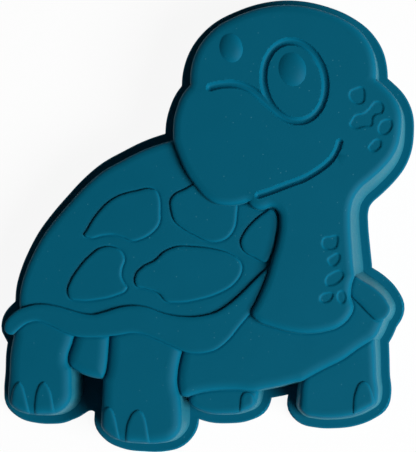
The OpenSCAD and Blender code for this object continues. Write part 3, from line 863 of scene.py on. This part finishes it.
@dataclass
class Wall(SubAssembly):
    """The drafted side wall and the lip round its foot, as profiles carried along the figure's outline.

    The lip's top lies lower by tilt at the wall and is rounded by bend at its outer edge. The wall has rings
    at shares of its way down, outside and inside, and rows, wide and wide_gap set the points of the lip.
    """

    seat: float = field(default_factory=lambda: top_of("side_wall"))
    lip: float = field(default_factory=lambda: top_of("rim_lip"))
    bend: float = 0.65
    tilt: float = 0.4
    lap: float = 0.1
    seat_share: float = 0.16
    evening: int = 7
    outer: tuple[float, ...] = (0.0, 0.35, 0.7, 1.0)
    inner: tuple[float, ...] = (1.0, 0.5, 0.0)
    rows: tuple[float, ...] = (0.03, 0.1, 0.2, 0.34, 0.5, 0.7, 0.9, 1.1, 1.7)
    wide: float = 1.5
    wide_gap: float = 1.9
    touch: float = 0.02
    apart: float = 0.05

    @cached_property
    def path(self) -> Array:
        """The figure's outline, clockwise."""
        return np.vstack([curve(EDGES[name])[:-1] for name in OUTLINE])

    @cached_property
    def runs(self) -> Array:
        """How far the foot stands out at each point of the path, evened out along it.

        Returns:
            As many values as the path has points.
        """
        found = []
        for name in OUTLINE:
            count = len(curve(EDGES[name])) - 1
            found.append(np.linspace(*RUNS.get(name, (WALL_RUN, WALL_RUN)), count, endpoint=False))
        runs = np.concatenate(found)
        wrapped = np.concatenate((runs[-self.evening :], runs, runs[: self.evening]))
        kernel = np.hanning(2 * self.evening + 3)[1:-1]
        return np.convolve(wrapped, kernel / kernel.sum(), mode="valid")

    @cached_property
    def lip_outside(self) -> Array:
        """Outer edge of the lip."""
        return shifted(self.path, self.runs + LIP_WIDTH)

    @cached_property
    def lip_inside(self) -> Array:
        """Inner edge of the lip."""
        return shifted(self.path, self.runs - WALL)

    @cached_property
    def web(self) -> Array:
        """Web of the lip between the two near legs."""
        return np.vstack((curve(WEB)[:-1], placed(HIDDEN["web"])))

    def at_seat(self, plan: Array) -> Array:
        """Moves those points of a plan that lie on the outline out to the wall at the seat.

        Args:
            plan: An (n, 2) array.

        Returns:
            The plan at the height of the seat.
        """
        ring = shifted(self.path, self.runs * self.seat_share)
        found = plan.copy()
        for part in blocks(len(plan)):
            d = np.linalg.norm(plan[part, None] - self.path, axis=2)
            on = d.min(axis=1) < self.touch
            found[part][on] = ring[d.argmin(axis=1)[on]]
        return found

    def build(self) -> list[Object]:
        """Makes the wall, as a closed tube of rings, and the lip.

        Returns:
            The two pieces.
        """
        rings = []
        foot = self.lip - self.tilt - self.lap
        for inwards, shares in ((0.0, self.outer), (WALL, self.inner)):
            for share in shares:
                out = self.runs * (self.seat_share + (1.0 - self.seat_share) * share) - inwards
                z = self.seat + (foot - self.seat) * share
                rings.append(np.column_stack((shifted(self.path, out), np.full(len(out), z))))
        points, faces = rings_mesh(rings, True)
        return [make("side_wall", points, [faces]), self.lip_piece()]

    def covered(self, plan: Array) -> Array:
        """Tells which points of a plan lie on the lip."""
        found = inside(plan, self.lip_outside) | inside(plan, self.web)
        return found & ~inside(plan, self.lip_inside)

    def lip_piece(self) -> Object:
        """Makes the lip: z(x, y) rises from the wall to the rounded outer edge, over a flat underside.

        Returns:
            The piece.
        """
        borders = [segments(path, True) for path in (self.lip_outside, self.lip_inside, self.web)]
        plan, faces = meshed(np.vstack(borders), np.empty((0, 2)))
        a, b = edges_of(faces[self.covered(plan[faces].mean(axis=1))])
        rim = np.stack((plan[a], plan[b]), axis=1)
        edge = rim[distance(rim.mean(axis=1), borders[1]) > self.apart]
        rows = rows_beside(edge, [share * self.bend for share in self.rows])
        wide = hexes(edge.reshape(-1, 2).min(axis=0), edge.reshape(-1, 2).max(axis=0), self.wide)
        wide = wide[distance(wide, rim) > self.wide_gap]
        sites = np.vstack((thinned(rows, CELL), wide))
        sites = sites[self.covered(sites)]
        plan, faces = meshed(rim, sites[distance(sites, rim) > self.touch])
        out = distance(plan, edge)
        top = self.lip - self.tilt * np.clip(out / LIP_WIDTH, 0.0, 1.0) - fillet(out, self.bend, self.bend)
        faces = faces[self.covered(plan[faces].mean(axis=1))]
        return solid("rim_lip", plan, faces, top, np.column_stack((plan, np.zeros(len(plan)))))


@dataclass(frozen=True)
class Raised(SubAssembly):
    """A low solid that stands on a panel: a shell plate or a claw.

    Attributes:
        node: CAD node that it stands for.
        kind: What it is.
        host: Panel that carries it.
        trim: Panel that a shell plate ends at, or that a claw stays inside.
        shares: Points of its border.
        rows: Rows of points along its border, as shares of the soft edge; wide and wide_gap set the others.
        fade: Width over which a claw runs out at the edge of its leg.
        sunk: How far its foot lies under the panel.
    """

    node: str
    kind: Kind
    host: Plate
    trim: Plate
    shares: Shares
    rows: tuple[float, ...] = (0.05, 0.15, 0.35, 0.65, 1.0, 1.4)
    wide: float = 0.9
    wide_gap: float = 1.6
    touch: float = 0.03
    cell: float = 0.1
    margin: float = 1.0
    fade: float = 0.8
    sunk: float = 0.45
    sharp: float = 50.0

    @cached_property
    def border(self) -> Array:
        """Its own edge: a loop round a shell plate, and an open arch round a claw."""
        return curve(self.shares, self.kind is Kind.SCUTE, self.kind.value[-1])

    @cached_property
    def pieces(self) -> Array:
        """Straight pieces of its edge."""
        return segments(self.border, self.kind is Kind.SCUTE)

    def build(self) -> list[Object]:
        """Makes the solid: its host's z(x, y) raised by a soft step, on a foot just under the host.

        Returns:
            The piece, in a list.
        """
        rise, width, depth, _ = self.kind.value
        low, high = self.border.min(axis=0), self.border.max(axis=0)
        rows = rows_beside(self.pieces, [share * width for share in self.rows])
        wide = hexes(low, high, self.wide)
        wide = wide[distance(wide, self.pieces) > width * self.wide_gap]
        trim = segments(self.trim.polygon, True)
        middle = trim.mean(axis=1)
        near = (middle > low - self.margin) & (middle < high + self.margin)
        bounds = np.vstack((self.pieces, trim[near.all(axis=1)]))
        sites = np.vstack((rows, wide))
        plan, faces = meshed(bounds, thinned(sites[distance(sites, bounds) > self.touch], self.cell))
        centre = plan[faces].mean(axis=1)
        kept = inside(centre, self.border) & (inside(centre, self.trim.polygon) == (self.kind is Kind.CLAW))
        ground = self.host.surface(plan)
        lift = rise - fillet(distance(plan, self.pieces), width, depth)
        if self.kind is Kind.CLAW:
            lift = lift * smooth(distance(plan, trim) / self.fade)
        foot = np.column_stack((plan, ground - self.sunk))
        return [solid(self.node, plan, faces[kept], ground + lift, foot, self.sharp)]


@dataclass
class Relief(SubAssembly):
    """The figure's panels, from one triangulated plan.

    The crease is a thin line at the foot of a step or a shell plate. The fields from rows to touch set the
    points of the plan. The ramps are the width of a step in the hollow and the height over which the marks
    fade there, and heights that agree to so many digits are one level.
    """

    wall: Wall
    standing: list[Raised]
    plates: tuple[Plate, ...] = PLATES
    marks: Marks = Marks()
    crease_depth: float = 0.35
    crease_width: float = 0.38
    crease_rows: tuple[float, ...] = (0.1, 0.25, 0.42, 0.62, 0.9)
    rows: tuple[float, ...] = (0.03, 0.1, 0.2, 0.34, 0.5, 0.7, 0.92, 1.15)
    wall_rows: tuple[float, ...] = (0.1, 0.7, 1.3)
    wide: float = 1.3
    wide_gap: float = 3.4
    fine: float = 0.32
    fine_gap: float = 0.2
    mark_gaps: tuple[float, float] = (0.5, 0.6)
    touch: float = 0.05
    hollow_ramp: float = 0.7
    mark_ramp: float = 0.6
    digits: int = 3

    def owner(self, plan: Array) -> Array:
        """Finds which plate shows at each point: the last one in the list that covers it.

        Args:
            plan: An (n, 2) array.

        Returns:
            Indices of plates, or -1.
        """
        found = np.full(len(plan), -1)
        for k, plate in enumerate(self.plates):
            cover = inside(plan, plate.polygon)
            if plate.node == "neck":
                cover &= found == k - 1
            found[cover] = k
        return found

    def bounds(self) -> Array:
        """Lists the edges along which the plates part.

        Returns:
            Straight pieces, as an (m, 2, 2) array.
        """
        limit = HIDDEN["neck_limit"]
        paths = [*EDGES.values(), *((limit[i - 1], limit[i]) for i in range(len(limit)))]
        pieces = np.vstack([segments(curve(shares)) for shares in paths])
        middle, side = pieces.mean(axis=1), across(pieces) * self.touch
        return pieces[self.owner(middle + side) != self.owner(middle - side)]

    def feet(self, node: str) -> list[Array]:
        """Lists the edges of the shell plates that stand on a panel."""
        return [item.pieces for item in self.standing if item.kind is Kind.SCUTE and item.host.node == node]

    def sites(self, bounds: Array) -> Array:
        """Chooses the plan's points: rows along each rounding, fine ones in the marks, wide ones elsewhere.

        Args:
            bounds: Straight pieces along which the plates part.

        Returns:
            An (n, 2) array.
        """
        rows = []
        for k, plate in enumerate(self.plates[:-1]):
            reaches = [share * plate.rounding.value[0] for share in self.rows]
            reaches += [WALL + row for row in self.wall_rows]
            q = rows_beside(plate.pieces, reaches)
            mine = self.owner(q)
            rows.append(q[(mine == k) | ((plate.node == "head") & (mine == k + 1))])
            q = rows_beside(plate.pieces, list(self.crease_rows))
            rows.append(q[self.owner(q) < k])
        for plate in self.plates:
            if feet := self.feet(plate.node):
                rows.append(rows_beside(np.vstack(feet), list(self.crease_rows)))
        low, high = bounds.reshape(-1, 2).min(axis=0), bounds.reshape(-1, 2).max(axis=0)
        wide = hexes(low, high, self.wide)
        coarse = np.vstack((thinned(np.vstack(rows), CELL), wide[distance(wide, bounds) > self.wide_gap]))
        fine = hexes(low, high, self.fine)
        fine = fine[inside(fine, self.plates[-2].polygon)]
        fine = fine[self.marks.depth(fine)[1] < self.mark_gaps[0]]
        coarse = coarse[self.marks.depth(coarse)[1] > self.mark_gaps[1]]
        found = np.vstack((coarse, fine[distance(fine, bounds) > self.fine_gap]))
        return found[distance(found, bounds) > self.touch]

    def crease(self, k: int, plan: Array) -> Array:
        """Gives the depth of the crease at the foot of what stands on plate k, as a bell curve."""
        over = [plate.pieces for plate in self.plates[k + 1 :]] + self.feet(self.plates[k].node)
        return self.crease_depth * np.exp(-((distance(plan, np.vstack(over)) / self.crease_width) ** 2))

    def hollow(self, plan: Array, faces: Array, mine: Array) -> Array:
        """Gives the ceiling of the hollow: each level rises over the one below it, one wall inside its edge.

        Args:
            plan: An (n, 2) array.
            faces: Triangles of the plan.
            mine: Plate of each triangle.

        Returns:
            The heights.
        """
        heights = np.array([plate.height for plate in self.plates])
        ceiling = np.full(len(plan), self.wall.seat)
        last = self.wall.seat + WALL
        for level in np.unique(np.round(heights, self.digits)):
            if level <= last + CLOSE:
                continue
            over = heights[mine] >= level - CLOSE
            a, b = edges_of(faces[over])
            held = np.zeros(len(plan), dtype=bool)
            held[faces[over].ravel()] = True
            d = distance(plan, np.stack((plan[a], plan[b]), axis=1))
            ceiling += (level - last) * smooth((d - WALL) / self.hollow_ramp) * held
            last = level
        under = smooth((ceiling - (last - WALL - self.mark_ramp)) / self.mark_ramp)
        return ceiling - self.marks.depth(plan)[0] * under

    def build(self) -> list[Object]:
        """Makes the panels: z(x, y) is a height less rounding, marks and creases, closed down to the hollow.

        Returns:
            The pieces, one for each plate.
        """
        bounds = self.bounds()
        plan, faces = meshed(bounds, self.sites(bounds))
        mine = self.owner(plan[faces].mean(axis=1))
        faces, mine = faces[mine >= 0], mine[mine >= 0]
        foot = np.column_stack((self.wall.at_seat(plan), self.hollow(plan, faces, mine)))
        pieces = []
        for k, plate in enumerate(self.plates):
            own = faces[mine == k]
            top = plate.surface(plan)
            if plate.node in ("head", "neck"):
                top = top - self.marks.depth(plan)[0]
            else:
                used = np.unique(own)
                top[used] -= self.crease(k, plan[used])
            pieces.append(solid(plate.node, plan, own, top, foot))
        return pieces


@dataclass(frozen=True)
class Dome(SubAssembly):
    """A pupil: a soft cap on the face.

    Attributes:
        node: CAD node that it stands for.
        place: Its middle.
        width: Its width.
        length: Its length.
        rise: Its height.
        power: Power of the curve from its edge to its top.
        sunk: How far its foot lies under the face, as a share of its height.
    """

    node: str
    place: Shares
    width: float
    length: float
    rise: float = 1.2
    power: float = 2.4
    sunk: float = 0.12
    sides: int = 64
    steps: int = 14
    sharp: float = 60.0

    def build(self) -> list[Object]:
        """Makes the cap as a surface of two angles: round its edge, and from its edge up to its top.

        Returns:
            The piece, in a list.
        """
        ground = top_of("head")
        middle = placed(self.place)[0]
        turn = np.linspace(0.0, 2 * math.pi, self.sides, endpoint=False)
        up = np.concatenate(([-self.sunk], np.linspace(0.0, 0.5 * math.pi, self.steps)[:-1]))
        share = np.cos(np.maximum(up, 0.0))
        heights = ground + np.where(up < 0.0, up, 1.0 - share**self.power) * self.rise
        rings = []
        for size, z in zip(share, heights):
            x, y = size * np.cos(turn) * self.width / 2, size * np.sin(turn) * self.length / 2
            plan = middle + np.stack(turned(x, y, EYE_LEAN), axis=1)
            rings.append(np.column_stack((plan, np.full(self.sides, z))))
        points, quads = rings_mesh(rings, False)
        around = np.arange(self.sides)
        beside = np.roll(around, -1)
        last, pole = len(points) - self.sides, np.full(self.sides, len(points))
        crown = np.stack((around + last, beside + last, pole), axis=1)
        base = np.stack((beside, around, pole + 1), axis=1)
        ends = ((*middle, ground + self.rise), (*middle, heights[0]))
        return [make(self.node, np.vstack((points, ends)), [quads, crown, base], self.sharp)]


@dataclass(frozen=True)
class Silicone:
    """Matt teal silicone rubber with a little dust on it, and painted light on its slopes and steep walls.

    Attributes:
        deep: Colour of the rubber.
        pale: Colour where it is a little lighter.
        edge: Painted light: a lighter colour on rounded edges and slopes, standing in for the light that
            falls on them.
        wall_sheen: Painted sheen: a paler colour on the steep walls, standing in for the light and sheen that
            they catch.
        dust: Colour of the dust.
        edge_light_slope: Upward part of the normal where the painted edge light starts, and where it is full.
        wall_sheen_slope: The same for the painted wall sheen.
        wall_sheen_patch: Grain at which the painted wall sheen is least and most.
        wall_sheen_least: Its least share.
        cloud: Scale of the noise between deep and pale, per metre, as speck and grain are.
        speck_size: Distance from the middle of a speck at which it starts, and is full.
    """

    deep: Colour = (0.0006, 0.090, 0.150, 1.0)
    pale: Colour = (0.0010, 0.098, 0.164, 1.0)
    # Painted light: a lighter colour on rounded edges and slopes
    edge: Colour = (0.0011, 0.126, 0.214, 1.0)
    # Painted sheen: a paler colour on the steep walls, for the light and sheen that they catch
    wall_sheen: Colour = (0.024, 0.181, 0.245, 1.0)
    dust: Colour = (0.12, 0.42, 0.50, 1.0)
    edge_light_slope: tuple[float, float] = (0.995, 0.8)
    wall_sheen_slope: tuple[float, float] = (0.36, 0.16)
    wall_sheen_patch: tuple[float, float] = (0.4, 0.58)
    wall_sheen_least: float = 0.3
    cloud: float = 90.0
    cloud_detail: float = 4.0
    speck: float = 420.0
    speck_size: tuple[float, float] = (0.07, 0.03)
    speck_share: float = 0.42
    grain: float = 1800.0
    grain_detail: float = 3.0
    bump: float = 0.22
    bump_height: float = 0.00012
    rough: float = 0.52
    gloss: float = 0.04
    sheen: float = 0.07
    sheen_rough: float = 0.25
    sheen_tint: Colour = (0.15, 0.9, 1.0, 1.0)

    def build(self) -> bpy.types.Material:
        """Makes the material from noise in the object's own coordinates.

        Returns:
            The material.
        """
        material = bpy.data.materials.new("teal_silicone")
        tree = cleared(material)
        place = add(tree, "TexCoord", {})
        where = {"Vector": place.outputs["Object"]}
        cloud = add(tree, "TexNoise", {**where, "Scale": self.cloud, "Detail": self.cloud_detail})
        speck = add(tree, "TexVoronoi", {**where, "Scale": self.speck})
        grain = add(tree, "TexNoise", {**where, "Scale": self.grain, "Detail": self.grain_detail})
        slope = add(tree, "SeparateXYZ", {"Vector": place.outputs["Normal"]}).outputs["Z"]
        patchy = ramp(tree, grain.outputs["Fac"], self.wall_sheen_patch, {"To Min": self.wall_sheen_least})
        layers = (
            (self.pale, cloud.outputs["Fac"]),
            (self.dust, ramp(tree, speck.outputs["Distance"], self.speck_size, {"To Max": self.speck_share})),
            # Painted light: edges and slopes made lighter by the normal's upward part
            (self.edge, ramp(tree, slope, self.edge_light_slope, {})),
            # Painted sheen on the steep walls, patchy with the grain
            (self.wall_sheen, ramp(tree, slope, self.wall_sheen_slope, {"To Max": patchy})),
        )
        colour = self.deep
        for over, factor in layers:
            inputs = {"Factor": factor, "A": colour, "B": over}
            colour = add(tree, "Mix", inputs, data_type="RGBA").outputs["Result"]
        inputs = {"Height": grain.outputs["Fac"], "Strength": self.bump, "Distance": self.bump_height}
        bump = add(tree, "Bump", inputs)
        inputs = {
            "Base Color": colour,
            "Normal": bump.outputs["Normal"],
            "Roughness": self.rough,
            "Specular IOR Level": self.gloss,
            "Sheen Weight": self.sheen,
            "Sheen Roughness": self.sheen_rough,
            "Sheen Tint": self.sheen_tint,
        }
        rubber = add(tree, "BsdfPrincipled", inputs)
        add(tree, "OutputMaterial", {"Surface": rubber.outputs["BSDF"]})
        return material


@dataclass
class Studio:
    """Floor, light and camera, in metres.

    Attributes:
        eye: Place of the camera.
        aim: Point that it looks at.
        key: Place of the light.
        drop: How far the floor lies under the mould.
        paper: Colour of the floor to the light.
        glow: Share of white in the floor that is seen; the rest shows the shadow.
        sky: Strength of the even light from all round.
    """

    eye: Place = (0.03767, -0.01217, 0.680)
    aim: Place = (0.00023, 0.00006, 0.0012)
    lens: float = 174.6
    sensor: float = 36.0
    key: Place = (0.89, -0.43, 0.985)
    key_aim: Place = (0.0, 0.0, 0.01)
    key_size: float = 0.8
    key_power: float = 27.8
    floor: float = 3.0
    drop: float = 0.0002
    paper: Colour = (0.85, 0.85, 0.85, 1.0)
    glow: float = 0.92
    sky: float = 0.05

    @staticmethod
    def seen(tree: Tree) -> Socket:
        """Adds nodes that tell the rays that show a background from those that light the object.

        Args:
            tree: Node tree of the floor's paper or of the sky.

        Returns:
            A socket that is 1 for the first kind and 0 for the second.
        """
        path = add(tree, "LightPath", {})
        shown = path.outputs["Is Camera Ray"]
        for kind in ("Is Glossy Ray", "Is Transmission Ray"):
            shown = add(tree, "Math", {0: shown, 1: path.outputs[kind]}, operation="MAXIMUM").outputs["Value"]
        return shown

    def white(self) -> bpy.types.Material:
        """Makes the floor's paper: white where it is seen, with a faint shadow on it, and matt to the light.

        Returns:
            The material.
        """
        material = bpy.data.materials.new("paper")
        tree = cleared(material)
        matt = add(tree, "BsdfDiffuse", {"Color": self.paper})
        glow = add(tree, "Emission", {})
        faint = add(tree, "Math", {0: self.seen(tree), 1: self.glow}, operation="MULTIPLY")
        inputs = {"Fac": faint.outputs["Value"], 1: matt.outputs["BSDF"], 2: glow.outputs["Emission"]}
        mix = add(tree, "MixShader", inputs)
        add(tree, "OutputMaterial", {"Surface": mix.outputs["Shader"]})
        return material

    def world(self) -> None:
        """Sets a dim even sky that the camera sees as white."""
        world = bpy.data.worlds.new("sky")
        tree = cleared(world)
        dim = add(tree, "Background", {"Strength": self.sky})
        bright = add(tree, "Background", {})
        inputs = {"Fac": self.seen(tree), 1: dim.outputs["Background"], 2: bright.outputs["Background"]}
        mix = add(tree, "MixShader", inputs)
        add(tree, "OutputWorld", {"Surface": mix.outputs["Shader"]})
        bpy.context.scene.world = world

    def light(self) -> None:
        """Hangs the square soft light that faces the object."""
        lamp = bpy.data.lights.new("key", "AREA")
        lamp.size = self.key_size
        lamp.energy = self.key_power
        held = bpy.data.objects.new("key", lamp)
        held.location = self.key
        held.rotation_euler = (Vector(self.key_aim) - Vector(self.key)).to_track_quat("-Z", "Y").to_euler()
        bpy.context.scene.collection.objects.link(held)

    def camera(self) -> None:
        """Sets up the camera, with the figure's Y upwards in its view."""
        lens = bpy.data.cameras.new("camera")
        lens.lens = self.lens
        lens.sensor_width = self.sensor
        camera = bpy.data.objects.new("camera", lens)
        back = (Vector(self.eye) - Vector(self.aim)).normalized()
        right = Vector((0.0, 1.0, 0.0)).cross(back).normalized()
        turn = Matrix((right, back.cross(right), back)).transposed().to_4x4()
        camera.matrix_world = Matrix.Translation(self.eye) @ turn
        bpy.context.scene.collection.objects.link(camera)
        bpy.context.scene.camera = camera

    def build(self) -> None:
        """Sets up the floor, the sky, the light and the camera."""
        mesh = bpy.data.meshes.new("floor")
        ways = ((-1, -1), (1, -1), (1, 1), (-1, 1))
        corners = [(x * self.floor, y * self.floor, -self.drop) for x, y in ways]
        mesh.from_pydata(corners, [], [(0, 1, 2, 3)])
        mesh.materials.append(self.white())
        floor = bpy.data.objects.new("floor", mesh)
        bpy.context.scene.collection.objects.link(floor)
        self.world()
        self.light()
        self.camera()
        bpy.context.scene.view_settings.view_transform = "Standard"


def raised_pieces() -> list[Raised]:
    """Lists the shell plates and the claws.

    Returns:
        The shell plates, and then the claws.
    """
    plates = {plate.node: plate for plate in PLATES}
    shell, head = plates["shell_panel"], plates["head"]
    found = [Raised(node, Kind.SCUTE, shell, head, shares) for node, shares in SCUTES.items()]
    for node, shares in CLAWS.items():
        leg = plates[node.split("_claw")[0] + "_leg"]
        found.append(Raised(node, Kind.CLAW, leg, leg, shares))
    return found


def main() -> None:
    """Builds, dresses and lights the sand mould."""
    logging.basicConfig(level=logging.INFO, format="%(name)s: %(message)s")
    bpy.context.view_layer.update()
    wall = Wall()
    standing = raised_pieces()
    pupils = (Dome("pupil", ((724.5, 853.5),), 8.2, 10.2), Dome("far_pupil", ((572.5, 903),), 6.9, 8.8))
    rubber = Silicone().build()
    for part in (wall, Relief(wall, standing), *standing, *pupils):
        for piece in part.build():
            part.dress(piece, rubber)
            mesh = piece.data
            LOG.info("%s: %d points, %d faces", piece.name, len(mesh.vertices), len(mesh.polygons))
    Studio().build()


if __name__ == "__main__":
    main()
